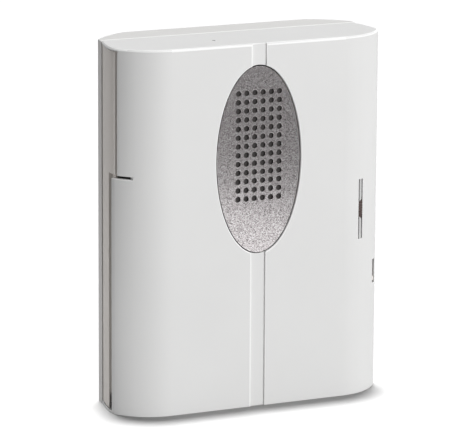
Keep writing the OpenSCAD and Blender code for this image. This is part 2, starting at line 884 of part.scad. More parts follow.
module contact_springs() {
  color("lightsteelblue")
    for (i = [0:cell_count - 1])
      cell_place(i) {
        translate([-5, -5, 0])
          cube([10, 10, contact_t]);
        translate([-3, 0, contact_t])
          difference() {
            rotate([0, 90, 0])
              cylinder(h = 6, r = leaf_r);
            translate([-1, 0, 0])
              rotate([0, 90, 0])
                cylinder(h = 8, r = leaf_r - contact_t);
            translate([-1, -5, -10 - contact_t / 2])
              cube([8, 10, 10]);
          }
      }
}

module battery_leads() {
  x0 = pocket_x1 + pocket_t;
  x1 = board_left + 1.6;
  d = board_top + 2;
  color("black")
    for (z = [pocket_z1 - 8, pocket_z1 - 12])
      wire([[x0, -d, z], [x1, -d, z], [x1, -board_top, z]]);
}

rear_shell();
cable_grommet();
chassis();
front_cover();
cover_screws();
grille_plate();
grille_cloth();
grille_nuts();
speaker_frame();
speaker_yoke();
speaker_magnet();
speaker_top_plate();
voice_coil();
speaker_spider();
speaker_cone();
dust_cap();
speaker_surround();
speaker_gasket();
speaker_screws();
speaker_tags();
speaker_leads();
circuit_board();
board_screws();
sound_chip();
chip_legs();
capacitors();
terminal_block();
terminal_screws();
volume_pot();
volume_wheel();
switch_body();
switch_knob();
battery_cells();
battery_nubs();
contact_plates();
contact_springs();
battery_leads();
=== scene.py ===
import json
import math

import bmesh
import bpy
from mathutils import Matrix, Vector
from mathutils.bvhtree import BVHTree


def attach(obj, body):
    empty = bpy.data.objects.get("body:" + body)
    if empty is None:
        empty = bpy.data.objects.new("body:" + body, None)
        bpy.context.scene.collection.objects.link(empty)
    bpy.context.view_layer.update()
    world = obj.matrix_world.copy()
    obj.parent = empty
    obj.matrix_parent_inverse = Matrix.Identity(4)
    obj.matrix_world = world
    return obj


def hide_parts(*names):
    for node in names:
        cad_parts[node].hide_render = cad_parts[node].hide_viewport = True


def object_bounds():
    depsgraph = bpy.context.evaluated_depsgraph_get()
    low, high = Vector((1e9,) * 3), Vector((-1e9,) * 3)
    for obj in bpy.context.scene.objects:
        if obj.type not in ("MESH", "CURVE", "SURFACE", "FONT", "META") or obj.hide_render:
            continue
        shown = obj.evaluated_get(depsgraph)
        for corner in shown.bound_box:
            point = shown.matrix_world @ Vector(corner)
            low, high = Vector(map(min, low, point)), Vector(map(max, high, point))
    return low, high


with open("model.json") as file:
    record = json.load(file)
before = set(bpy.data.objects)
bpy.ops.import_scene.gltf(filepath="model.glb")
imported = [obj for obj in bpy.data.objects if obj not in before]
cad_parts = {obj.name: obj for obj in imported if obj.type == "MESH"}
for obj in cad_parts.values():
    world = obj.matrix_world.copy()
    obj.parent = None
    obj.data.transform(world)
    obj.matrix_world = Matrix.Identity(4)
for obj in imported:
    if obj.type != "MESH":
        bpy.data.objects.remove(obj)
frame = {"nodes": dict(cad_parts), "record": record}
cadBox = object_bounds()
parts = frame["nodes"]
scene = bpy.context.scene
scene.view_settings.view_transform = "Standard"
mm = 0.001
sameSpot = 1e-7
print("frame loaded:", len(parts), "nodes")

# small helpers for node trees


def mathOf(tree, kind, first, second):
    step = tree.nodes.new("ShaderNodeMath")
    step.operation = kind
    for socket, value in zip(step.inputs, (first, second)):
        if isinstance(value, (int, float)):
            socket.default_value = value
        else:
            tree.links.new(value, socket)
    return step.outputs[0]


def mapOf(tree, amount, low, high, fromLow=0.3, fromHigh=0.7):
    span = tree.nodes.new("ShaderNodeMapRange")
    span.inputs["From Min"].default_value = fromLow
    span.inputs["From Max"].default_value = fromHigh
    span.inputs["To Min"].default_value = low
    span.inputs["To Max"].default_value = high
    tree.links.new(amount, span.inputs["Value"])
    return span.outputs["Result"]


def axesOf(tree, where):
    split = tree.nodes.new("ShaderNodeSeparateXYZ")
    tree.links.new(where, split.inputs["Vector"])
    return split.outputs


# camera, fitted to the box's outline
viewSet = {
    "place": (-0.5954, -1.3379, 0.3319),
    "turn": 0.4255,
    "dip": 0.2272,
    "roll": 0.0062,
    "lens": 274.5,
    "sensor": 36.0,
    "clip": (0.05, 50.0),
}


def makeCamera(opts):
    turn, dip, roll = opts["turn"], opts["dip"], opts["roll"]
    ahead = Vector((math.sin(turn) * math.cos(dip), math.cos(turn) * math.cos(dip), -math.sin(dip)))
    side = Vector((math.cos(turn), -math.sin(turn), 0.0))
    lift = side.cross(ahead)
    across = side * math.cos(roll) + lift * math.sin(roll)
    up = lift * math.cos(roll) - side * math.sin(roll)
    lensData = bpy.data.cameras.new("photoCamera")
    lensData.lens = opts["lens"]
    lensData.sensor_width = opts["sensor"]
    lensData.sensor_fit = "HORIZONTAL"
    lensData.clip_start, lensData.clip_end = opts["clip"]
    camera = bpy.data.objects.new("photoCamera", lensData)
    scene.collection.objects.link(camera)
    turned = Matrix((across, up, -ahead)).transposed().to_4x4()
    camera.matrix_world = Matrix.Translation(opts["place"]) @ turned
    scene.camera = camera


makeCamera(viewSet)

# floor, room and lamps
roomSet = {
    "floorSize": 8.0,
    "floorTone": 0.52,
    "floorGlow": 0.01,
    "bounceTone": 0.04,
    "bounceGlow": 0.34,
    "leftLight": 0.010,
    "rightLight": 0.44,
}
lampSet = {  # a sun's size is its spread in degrees
    "keyLamp": {"kind": "AREA", "place": (0.46, -1.20, 0.46), "size": 0.9, "power": 12.7},
    "lowLamp": {"kind": "AREA", "place": (-0.145, -0.045, -0.066), "size": 0.10, "power": 0.027},
    "topSun": {"kind": "SUN", "place": (0.06, 0.12, 0.99), "size": 42.0, "power": 1.32},
    "groundSun": {"kind": "SUN", "place": (0.018, 0.065, 0.99), "size": 5.0, "power": 5.7},
}
cardSet = {
    "place": (0.104, -0.273),
    "turn": 0.4255,
    "tilt": -0.15,
    "size": (1.10, 0.60),
    "low": 0.029,
    "glow": 0.04,
}


def seenDirectly(tree):
    # camera, glossy and transmission rays all find the pale background
    path = tree.nodes.new("ShaderNodeLightPath").outputs
    first = mathOf(tree, "MAXIMUM", path["Is Camera Ray"], path["Is Glossy Ray"])
    return mathOf(tree, "MAXIMUM", first, path["Is Transmission Ray"])


def makeFloor(opts):
    mesh = bpy.data.meshes.new("floor")
    bm = bmesh.new()
    bmesh.ops.create_grid(bm, x_segments=2, y_segments=2, size=opts["floorSize"] / 2)
    bmesh.ops.translate(bm, verts=bm.verts, vec=(0.0, 0.0, cadBox[0].z))
    bm.to_mesh(mesh)
    bm.free()
    floor = bpy.data.objects.new("floor", mesh)
    scene.collection.objects.link(floor)
    mat = bpy.data.materials.new("paleFloor")
    mat.use_nodes = True
    tree = mat.node_tree
    tree.nodes.remove(tree.nodes["Principled BSDF"])
    pick = tree.nodes.new("ShaderNodeMixShader")
    tree.links.new(seenDirectly(tree), pick.inputs[0])
    for socket, tone, lift in ((2, "floorTone", "floorGlow"), (1, "bounceTone", "bounceGlow")):
        sheet = tree.nodes.new("ShaderNodeBsdfDiffuse")
        sheet.inputs["Color"].default_value = (opts[tone],) * 3 + (1.0,)
        glow = tree.nodes.new("ShaderNodeEmission")
        glow.inputs["Strength"].default_value = opts[lift]
        both = tree.nodes.new("ShaderNodeAddShader")
        tree.links.new(sheet.outputs[0], both.inputs[0])
        tree.links.new(glow.outputs[0], both.inputs[1])
        tree.links.new(both.outputs[0], pick.inputs[socket])
    tree.links.new(pick.outputs[0], tree.nodes["Material Output"].inputs["Surface"])
    mesh.materials.append(mat)
    return floor


def makeRoom(opts):
    world = bpy.data.worlds.new("studio")
    scene.world = world
    world.use_nodes = True
    tree = world.node_tree
    room = tree.nodes["Background"]
    room.inputs["Color"].default_value = (1.0, 1.0, 1.0, 1.0)
    around = tree.nodes.new("ShaderNodeTexCoord").outputs["Generated"]  # the room is darker on the left
    light = mapOf(tree, axesOf(tree, around)["X"], opts["leftLight"], opts["rightLight"], -1.0, 1.0)
    tree.links.new(light, room.inputs["Strength"])
    white = tree.nodes.new("ShaderNodeBackground")
    white.inputs["Color"].default_value = (1.0, 1.0, 1.0, 1.0)
    white.inputs["Strength"].default_value = 1.0
    pick = tree.nodes.new("ShaderNodeMixShader")
    tree.links.new(seenDirectly(tree), pick.inputs[0])
    tree.links.new(room.outputs[0], pick.inputs[1])
    tree.links.new(white.outputs[0], pick.inputs[2])
    tree.links.new(pick.outputs[0], tree.nodes["World Output"].inputs["Surface"])


def makeLamp(name, opts):
    data = bpy.data.lights.new(name, opts["kind"])
    if opts["kind"] == "AREA":
        data.shape = "DISK"
        data.size = opts["size"]
    else:
        data.angle = math.radians(opts["size"])
    data.energy = opts["power"]
    lamp = bpy.data.objects.new(name, data)
    scene.collection.objects.link(lamp)
    lamp.location = opts["place"]
    lamp.rotation_mode = "QUATERNION"
    lamp.rotation_quaternion = (-Vector(opts["place"])).to_track_quat("-Z", "Y")
    lamp.visible_camera = False
    return lamp


def makeCard(opts):
    # grey card that the metallic paint mirrors above the pale floor
    mesh = bpy.data.meshes.new("glossCard")
    bm = bmesh.new()
    bmesh.ops.create_grid(bm, x_segments=1, y_segments=1, size=0.5)
    bmesh.ops.scale(bm, verts=bm.verts, vec=(opts["size"][0], opts["size"][1], 1.0))
    bmesh.ops.rotate(bm, verts=bm.verts, matrix=Matrix.Rotation(opts["tilt"], 3, "Z"))
    bmesh.ops.rotate(bm, verts=bm.verts, matrix=Matrix.Rotation(math.radians(90.0), 3, "X"))
    bmesh.ops.rotate(bm, verts=bm.verts, matrix=Matrix.Rotation(opts["turn"], 3, "Z"))
    lift = cadBox[0].z + opts["low"] + opts["size"][1] / 2
    bmesh.ops.translate(bm, verts=bm.verts, vec=(*opts["place"], lift))
    bm.to_mesh(mesh)
    bm.free()
    mat = bpy.data.materials.new("greyCard")
    mat.use_nodes = True
    tree = mat.node_tree
    tree.nodes.remove(tree.nodes["Principled BSDF"])
    glow = tree.nodes.new("ShaderNodeEmission")
    glow.inputs["Strength"].default_value = opts["glow"]
    tree.links.new(glow.outputs[0], tree.nodes["Material Output"].inputs["Surface"])
    mesh.materials.append(mat)
    card = bpy.data.objects.new("glossCard", mesh)
    scene.collection.objects.link(card)
    card.visible_camera = False
    card.visible_diffuse = False
    card.visible_transmission = False
    card.visible_shadow = False


def linkFloor(name, floor, lamps, state):
    # lamps that leave the floor out, or that light nothing else
    group = bpy.data.collections.new(name)
    group.objects.link(floor)
    for lamp in lamps:
        lamp.light_linking.receiver_collection = group
    group.collection_objects[0].light_linking.link_state = state


floor = makeFloor(roomSet)
makeCard(cardSet)
makeRoom(roomSet)
lamps = {name: makeLamp(name, opts) for name, opts in lampSet.items()}
linkFloor("floorLeftOut", floor, (lamps["keyLamp"], lamps["lowLamp"], lamps["topSun"]), "EXCLUDE")
linkFloor("floorAlone", floor, (lamps["groundSun"],), "INCLUDE")
print("stage set")

# finishes


def startFinish(name, opts):
    mat = bpy.data.materials.new(name)
    mat.use_nodes = True
    tree = mat.node_tree
    shader = tree.nodes["Principled BSDF"]
    shader.inputs["Metallic"].default_value = opts.get("metal", 0.0)
    shader.inputs["Specular IOR Level"].default_value = opts.get("gloss", 0.5)
    where = tree.nodes.new("ShaderNodeTexCoord").outputs["Object"]
    return mat, tree, shader, where


def noiseOf(tree, where, size, detail=2.0, stretch=(1.0, 1.0, 1.0)):
    spread = tree.nodes.new("ShaderNodeMapping")
    spread.inputs["Scale"].default_value = stretch
    noise = tree.nodes.new("ShaderNodeTexNoise")
    noise.inputs["Scale"].default_value = 1.0 / size
    noise.inputs["Detail"].default_value = detail
    tree.links.new(where, spread.inputs["Vector"])
    tree.links.new(spread.outputs["Vector"], noise.inputs["Vector"])
    return noise.outputs["Fac"]


def rampOf(tree, amount, stops):
    ramp = tree.nodes.new("ShaderNodeValToRGB")
    marks = ramp.color_ramp.elements
    while len(marks) < len(stops):
        marks.new(0.5)
    for mark, (place, tone) in zip(marks, stops):
        mark.position = place
        mark.color = (*tone, 1.0)
    tree.links.new(amount, ramp.inputs["Fac"])
    return ramp.outputs["Color"]


def bumpOf(tree, shader, height, depth):
    bump = tree.nodes.new("ShaderNodeBump")
    bump.inputs["Distance"].default_value = depth
    tree.links.new(height, bump.inputs["Height"])
    tree.links.new(bump.outputs["Normal"], shader.inputs["Normal"])


def shade(tone, share):
    return tuple(min(1.0, c * share) for c in tone)


def variedTone(tree, amount, opts, low, high):
    darker, lighter = (shade(opts["tone"], 1.0 + side * opts["vary"]) for side in (-1, 1))
    return rampOf(tree, amount, [(low, darker), (high, lighter)])


def markMix(tree, tones, layer, tone):
    # second tone where the piece's own faces are marked
    mark = tree.nodes.new("ShaderNodeAttribute")
    mark.attribute_name = layer
    mix = tree.nodes.new("ShaderNodeMix")
    mix.data_type = "RGBA"
    mix.inputs["B"].default_value = (*tone, 1.0)
    tree.links.new(mark.outputs["Fac"], mix.inputs["Factor"])
    tree.links.new(tones, mix.inputs["A"])
    return mix.outputs["Result"]


def mouldedFinish(name, opts):
    # spark-eroded moulding: fine grain over faint flow marks
    mat, tree, shader, where = startFinish(name, opts)
    flow = noiseOf(tree, where, opts["flow"], 3.0, opts.get("stretch", (1.0, 1.0, 1.0)))
    grain = noiseOf(tree, where, opts["grain"], 3.0)
    flowShare = 0.6
    mixed = mathOf(tree, "ADD", mathOf(tree, "MULTIPLY", flow, flowShare),
                   mathOf(tree, "MULTIPLY", grain, 1.0 - flowShare))
    tones = variedTone(tree, mixed, opts, 0.35, 0.65)
    if "edgeHighlightTone" in opts:  # painted highlight: eased edges and top chamfers get a paler tone than the grained faces; painted shade: hollows get a darker tone
        tones = markMix(tree, tones, "edgeHighlight", opts["edgeHighlightTone"])
        tones = markMix(tree, tones, "hollowShade", opts["hollowShadeTone"])
    tree.links.new(tones, shader.inputs["Base Color"])
    tree.links.new(mapOf(tree, grain, *opts["rough"]), shader.inputs["Roughness"])
    bumpOf(tree, shader, grain, opts["depth"])
    return mat


def flakeFinish(name, opts):
    # metallic paint: flakes of two sizes in a grey ground, which reach a little way into the holes; deeper
    # in, the hole walls get a near-black painted shade
    mat, tree, shader, where = startFinish(name, opts)
    tone = opts["tone"]
    shares = []
    for size in opts["flakes"]:
        cells = tree.nodes.new("ShaderNodeTexVoronoi")
        cells.inputs["Scale"].default_value = 1.0 / size
        tree.links.new(where, cells.inputs["Vector"])
        split = tree.nodes.new("ShaderNodeSeparateColor")
        tree.links.new(cells.outputs["Color"], split.inputs["Color"])
        shares.append(split.outputs["Red"])
    both = mathOf(tree, "MULTIPLY", mathOf(tree, "ADD", shares[0], shares[1]), 0.5)
    low, high = 1.0 - opts["vary"], 1.0 + opts["vary"]
    tones = rampOf(tree, both, [(0.15, shade(tone, low)), (0.5, tone), (0.88, shade(tone, high))])
    # painted shade on the hole walls below the flakes' reach
    painted = mapOf(tree, axesOf(tree, where)["Y"], 1.0, 0.0, *opts["reach"])
    mix = tree.nodes.new("ShaderNodeMix")
    mix.data_type = "RGBA"
    mix.inputs["A"].default_value = (*opts["holeShadeTone"], 1.0)
    tree.links.new(painted, mix.inputs["Factor"])
    tree.links.new(tones, mix.inputs["B"])
    tree.links.new(mix.outputs["Result"], shader.inputs["Base Color"])
    tree.links.new(mathOf(tree, "MULTIPLY", painted, opts["metal"]), shader.inputs["Metallic"])
    smooth, rough = opts["rough"]
    tree.links.new(mapOf(tree, both, rough, smooth, 0.1, 0.9), shader.inputs["Roughness"])
    bumpOf(tree, shader, noiseOf(tree, where, opts["grain"], 2.0), opts["depth"])
    return mat


def weaveFinish(name, opts):
    # over-and-under threads along X and Z
    mat, tree, shader, where = startFinish(name, opts)
    axes = axesOf(tree, where)
    turns = 2.0 * math.pi / opts["thread"]
    warp, weft = (mathOf(tree, "SINE", mathOf(tree, "MULTIPLY", axes[axis], turns), 0.0) for axis in "XZ")
    height = mathOf(tree, "MULTIPLY", warp, weft)
    fuzz = noiseOf(tree, where, opts["thread"] * 0.6, 2.0)
    tone = opts["tone"]
    lift = mapOf(tree, height, 0.0, 1.0, -1.0, 1.0)
    tones = rampOf(tree, lift, [(0.1, shade(tone, 0.5)), (0.9, shade(tone, 1.5))])
    tree.links.new(tones, shader.inputs["Base Color"])
    tree.links.new(mapOf(tree, fuzz, *opts["rough"]), shader.inputs["Roughness"])
    bumpOf(tree, shader, height, opts["depth"])
    return mat


def platedFinish(name, opts):
    # plated metal with drawn or tumbled marks
    mat, tree, shader, where = startFinish(name, opts)
    marks = noiseOf(tree, where, opts["marks"], 4.0, opts.get("stretch", (1.0, 1.0, 1.0)))
    haze = noiseOf(tree, where, opts["haze"], 2.0)
    tones = variedTone(tree, haze, opts, 0.3, 0.7)
    tree.links.new(tones, shader.inputs["Base Color"])
    tree.links.new(mapOf(tree, marks, *opts["rough"]), shader.inputs["Roughness"])
    bumpOf(tree, shader, marks, opts["depth"])
    return mat


def windingFinish(name, opts):
    # enamelled wire laid turn by turn along the coil's axis
    mat, tree, shader, where = startFinish(name, opts)
    along = mathOf(tree, "MULTIPLY", axesOf(tree, where)["Y"], 2.0 * math.pi / opts["wire"])
    height = mapOf(tree, mathOf(tree, "SINE", along, 0.0), 0.0, 1.0, -1.0, 1.0)
    tone = opts["tone"]
    tree.links.new(rampOf(tree, height, [(0.0, shade(tone, 0.45)), (0.8, tone)]), shader.inputs["Base Color"])
    haze = noiseOf(tree, where, opts["haze"])
    tree.links.new(mapOf(tree, haze, *opts["rough"]), shader.inputs["Roughness"])
    bumpOf(tree, shader, height, opts["depth"])
    return mat


def boardFinish(name, opts):
    # solder mask over copper tracks
    mat, tree, shader, where = startFinish(name, opts)
    turned = tree.nodes.new("ShaderNodeMapping")
    turned.inputs["Rotation"].default_value = (math.radians(90.0), 0.0, 0.0)
    tracks = tree.nodes.new("ShaderNodeTexBrick")
    tracks.inputs["Scale"].default_value = 1.0
    tracks.inputs["Brick Width"].default_value = opts["run"]
    tracks.inputs["Row Height"].default_value = opts["pitch"]
    tracks.inputs["Mortar Size"].default_value = opts["track"]
    tracks.inputs["Mortar Smooth"].default_value = 0.2
    tree.links.new(where, turned.inputs["Vector"])
    tree.links.new(turned.outputs["Vector"], tracks.inputs["Vector"])
    onTrack = tracks.outputs["Fac"]
    tone = opts["tone"]
    tones = rampOf(tree, onTrack, [(0.0, tone), (1.0, shade(tone, 1.7))])
    tree.links.new(tones, shader.inputs["Base Color"])
    haze = noiseOf(tree, where, opts["haze"])
    tree.links.new(mapOf(tree, haze, *opts["rough"]), shader.inputs["Roughness"])
    bumpOf(tree, shader, onTrack, opts["depth"])
    return mat


def sleeveFinish(name, opts):
    # shrink sleeve in two plain tones, banded across the part's height
    mat, tree, shader, where = startFinish(name, opts)
    height = axesOf(tree, where)["Z"]
    low, high = opts["band"]
    inside = mathOf(tree, "MULTIPLY", mathOf(tree, "GREATER_THAN", height, low),
                    mathOf(tree, "LESS_THAN", height, high))
    haze = noiseOf(tree, where, opts["haze"], 2.0)
    tone, second = opts["tone"], opts["bandTone"]
    amount = mathOf(tree, "ADD", mathOf(tree, "MULTIPLY", inside, 0.8), mathOf(tree, "MULTIPLY", haze, 0.15))
    tones = rampOf(tree, amount, [(0.0, shade(tone, 0.92)), (0.2, tone),
                                  (0.8, second), (1.0, shade(second, 1.06))])
    tree.links.new(tones, shader.inputs["Base Color"])
    tree.links.new(mapOf(tree, haze, *opts["rough"]), shader.inputs["Roughness"])
    bumpOf(tree, shader, haze, opts["depth"])
    return mat


# edge tones in these looks are a painted highlight along eased edges and top chamfers
coverLook = {"tone": (0.80, 0.80, 0.795), "vary": 0.012, "flow": 0.030, "grain": 0.00030,
             "depth": 0.000006, "rough": (0.42, 0.54), "gloss": 0.4,
             # dust tones in these looks are painted shade in hollows
             "edgeHighlightTone": (0.97, 0.97, 0.965), "hollowShadeTone": (0.10, 0.098, 0.095)}
trayLook = {**coverLook, "tone": (0.762, 0.754, 0.742)}
chassisLook = {"tone": (0.85, 0.803, 0.761), "vary": 0.02, "flow": 0.020, "grain": 0.00035,
               "depth": 0.000010, "rough": (0.50, 0.62), "gloss": 0.35, "stretch": (1.0, 1.0, 0.3),
               "edgeHighlightTone": (0.93, 0.895, 0.86), "hollowShadeTone": (0.06, 0.058, 0.055)}
grilleLook = {"tone": (0.722, 0.668, 0.676), "vary": 0.71, "flakes": (0.00036, 0.00025), "grain": 0.0003,
              "depth": 0.000002, "rough": (0.21, 0.25), "metal": 0.94, "reach": (-0.04365, -0.04350),
              # the hole tone is painted shade on the hole walls
              "holeShadeTone": (0.020, 0.019, 0.019)}
clothLook = {"tone": (0.075, 0.070, 0.068), "thread": 0.0007, "depth": 0.00006,
             "rough": (0.75, 0.95), "gloss": 0.2}
wheelLook = {"tone": (0.085, 0.055, 0.050), "vary": 0.12, "flow": 0.004, "grain": 0.0003,
             "depth": 0.000010, "rough": (0.40, 0.55)}
knobLook = {"tone": (0.030, 0.029, 0.028), "vary": 0.15, "flow": 0.003, "grain": 0.00025,
            "depth": 0.000010, "rough": (0.42, 0.58)}
rubberLook = {"tone": (0.040, 0.040, 0.041), "vary": 0.15, "flow": 0.004, "grain": 0.0004,
              "depth": 0.000015, "rough": (0.65, 0.85), "gloss": 0.3}
zincLook = {"tone": (0.66, 0.67, 0.70), "vary": 0.08, "marks": 0.0006, "haze": 0.004, "depth": 0.000006,
            "rough": (0.22, 0.40), "metal": 1.0}
tinLook = {"tone": (0.72, 0.71, 0.68), "vary": 0.06, "marks": 0.0008, "haze": 0.003, "depth": 0.000005,
           "rough": (0.26, 0.42), "metal": 1.0, "stretch": (0.2, 1.0, 1.0)}
basketLook = {"tone": (0.29, 0.29, 0.30), "vary": 0.08, "flow": 0.006, "grain": 0.0006,
              "depth": 0.000012, "rough": (0.40, 0.55)}
ferriteLook = {"tone": (0.075, 0.073, 0.074), "vary": 0.35, "flow": 0.002, "grain": 0.00025,
               "depth": 0.000030, "rough": (0.55, 0.80)}
copperLook = {"tone": (0.66, 0.33, 0.16), "wire": 0.00014, "haze": 0.001, "depth": 0.00003,
              "rough": (0.25, 0.40), "metal": 0.9}
spiderLook = {"tone": (0.52, 0.36, 0.13), "thread": 0.0006, "depth": 0.00008,
              "rough": (0.70, 0.90), "gloss": 0.3}
paperLook = {"tone": (0.055, 0.054, 0.058), "vary": 0.30, "flow": 0.0016, "grain": 0.0005,
             "depth": 0.000060, "rough": (0.70, 0.95), "gloss": 0.3, "stretch": (1.0, 3.0, 1.0)}
tagLook = {"tone": (0.50, 0.35, 0.19), "vary": 0.18, "flow": 0.0022, "grain": 0.0004,
           "depth": 0.000020, "rough": (0.50, 0.70), "stretch": (0.3, 1.0, 1.0)}
redWireLook = {"tone": (0.52, 0.045, 0.035), "vary": 0.10, "flow": 0.003, "grain": 0.0004,
               "depth": 0.000008, "rough": (0.38, 0.52)}
blackWireLook = {"tone": (0.028, 0.028, 0.029), "vary": 0.15, "flow": 0.003, "grain": 0.0004,
                 "depth": 0.000008, "rough": (0.38, 0.52)}
boardLook = {"tone": (0.022, 0.150, 0.060), "run": 0.0127, "pitch": 0.00254, "track": 0.0004,
             "haze": 0.002, "depth": 0.00003, "rough": (0.30, 0.45)}
chipLook = {"tone": (0.030, 0.030, 0.031), "vary": 0.18, "flow": 0.002, "grain": 0.0002,
            "depth": 0.000014, "rough": (0.55, 0.75)}
canLook = {"tone": (0.030, 0.045, 0.20), "bandTone": (0.42, 0.44, 0.50), "band": (-0.0372, -0.0358),
           "haze": 0.003, "depth": 0.000010, "rough": (0.28, 0.40)}
terminalLook = {"tone": (0.060, 0.27, 0.12), "vary": 0.08, "flow": 0.004, "grain": 0.0004,
                "depth": 0.000010, "rough": (0.42, 0.58)}
cellLook = {"tone": (0.42, 0.43, 0.44), "bandTone": (0.50, 0.33, 0.06), "band": (-0.046, -0.019),
            "haze": 0.004, "depth": 0.000008, "rough": (0.25, 0.38), "metal": 0.35}

finishes = {
    "white_plastic": mouldedFinish("whitePlastic", coverLook),
    "grey_plastic": mouldedFinish("greyPlastic", chassisLook),
    "silver_paint": flakeFinish("silverPaint", grilleLook),
    "black_cloth": weaveFinish("acousticCloth", clothLook),
    "brown_plastic": mouldedFinish("brownPlastic", wheelLook),
    "black_plastic": mouldedFinish("blackPlastic", knobLook),
    "black_rubber": mouldedFinish("blackRubber", rubberLook),
    "zinc_steel": platedFinish("zincSteel", zincLook),
    "tin_plate": platedFinish("tinPlate", tinLook),
    "grey_paint": mouldedFinish("basketPaint", basketLook),
    "ferrite": mouldedFinish("ferrite", ferriteLook),
    "copper_wire": windingFinish("copperWinding", copperLook),
    "amber_cloth": weaveFinish("spiderCloth", spiderLook),
    "black_paper": mouldedFinish("conePaper", paperLook),
    "tan_board": mouldedFinish("tagBoard", tagLook),
    "red_plastic": mouldedFinish("redWire", redWireLook),
    "green_board": boardFinish("circuitMask", boardLook),
    "blue_plastic": sleeveFinish("capacitorSleeve", canLook),
    "green_plastic": mouldedFinish("terminalPlastic", terminalLook),
    "cell_wrap": sleeveFinish("cellSleeve", cellLook),
}
blackWire = mouldedFinish("blackWire", blackWireLook)
slotOf = {row["node"]: row["material_slot"] for row in frame["record"]["subparts"]}
finishOf = {name: finishes[slotOf[name]] for name in parts}
finishOf["rear_shell"] = mouldedFinish("trayPlastic", trayLook)
finishOf["sound_chip"] = mouldedFinish("chipResin", chipLook)
for name, part in parts.items():
    part.material_slots[0].material = finishOf[name]
print("finishes made:", len(bpy.data.materials))

# pieces


def addPiece(name, bm, body, finish, smooth=35.0):
    mesh = bpy.data.meshes.new(name)
    bm.to_mesh(mesh)
    bm.free()
    mesh.shade_smooth()
    mesh.set_sharp_from_angle(angle=math.radians(smooth))
    mesh.materials.append(finish)
    piece = bpy.data.objects.new(name, mesh)
    scene.collection.objects.link(piece)
    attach(piece, body)
    return piece


easeSet = {
    "merge": 2e-6,
    "flat": 0.6,  # degrees under which faces count as one
    "sharp": 25.0,  # degrees from which an edge is eased
    "near": 2e-5,
    "steps": 2,
    "lineRoom": 1.3,  # least depth of the faces beside a named line, in widths of its easing
    "room": 2.2,  # the same for every other edge
    "smooth": 50.0,
    "slant": (0.4, 0.95),  # upward share of the normal of a chamfer at the top
    "facing": -0.5,  # least backward share of that normal
    "topReach": 0.0009,  # how far under the top such a chamfer lies
}


def openEdges(bm, opts):
    # sharp edges that face open air, so that the hidden inner ones stay as they are
    tree = BVHTree.FromBMesh(bm)
    found = []
    for edge in bm.edges:
        if not edge.is_convex or edge.calc_face_angle() < math.radians(opts["sharp"]):
            continue
        middle = (edge.verts[0].co + edge.verts[1].co) / 2
        out = (edge.link_faces[0].normal + edge.link_faces[1].normal).normalized()
        if tree.ray_cast(middle + out * opts["near"], out)[0] is None:
            found.append(edge)
    return found


def onLine(edge, line, near):
    # edge that lies at the line's x, y or z, in metres
    places = {axis: value for axis, value in line.items() if axis in "xyz"}
    return all(abs(getattr(v.co, axis) - value) < near for v in edge.verts for axis, value in places.items())


def hasRoom(edge, reach):
    # both faces go far enough back from the edge to take its easing
    start = edge.verts[0].co
    along = (edge.verts[1].co - start).normalized()
    for face in edge.link_faces:
        offsets = [v.co - start for v in face.verts]
        if max((o - along * o.dot(along)).length for o in offsets) < reach:
            return False
    return True


def softCopy(name, node, body, opts, ease):
    # the node's own form with its moulded edges eased, its eased edges and top chamfers marked for a painted
    # highlight and its hollows marked for painted shade
    bm = bmesh.new()
    bm.from_mesh(parts[node].data)
    bmesh.ops.remove_doubles(bm, verts=bm.verts, dist=ease["merge"])
    bmesh.ops.dissolve_limit(bm, angle_limit=math.radians(ease["flat"]), verts=bm.verts, edges=bm.edges)
    mark = bm.faces.layers.float.new("edgeHighlight")
    least, most = ease["slant"]
    for face in bm.faces:  # chamfers of the seam and of the sides at the top, marked for the painted highlight
        slant = least < face.normal.z < most and face.normal.y > ease["facing"]
        if slant and face.calc_center_median().z > cadBox[1].z - ease["topReach"]:
            face[mark] = 1.0
    done = set()
    for line in (*opts.get("lines", ()), {"wide": opts["wide"], "room": ease["room"]}):
        wide = line["wide"]
        reach = wide * line.get("room", ease["lineRoom"])
        chosen = [e for e in openEdges(bm, ease)
                  if e not in done and onLine(e, line, ease["near"]) and hasRoom(e, reach)]
        made = bmesh.ops.bevel(bm, geom=chosen, offset=wide, offset_type="OFFSET", affect="EDGES",
                               segments=ease["steps"], profile=0.5, material=-1, clamp_overlap=False,
                               loop_slide=False)
        # the new bevel faces are marked for the painted edge highlight
        for face in made["faces"]:
            face[mark] = 1.0
            done.update(face.edges)
    # faces inside the listed boxes get painted shade
    shadeLayer = bm.faces.layers.float.new("hollowShade")
    for low, high, amount in opts.get("shadedHollows", ()):
        for face in bm.faces:
            if all(a < c < b for v in face.verts for a, c, b in zip(low, v.co, high)):
                face[shadeLayer] = amount
    piece = addPiece(name, bm, body, finishOf[node], opts.get("smooth", ease["smooth"]))
    even = piece.modifiers.new("evenNormals", "WEIGHTED_NORMAL")
    even.keep_sharp = True
    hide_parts(node)


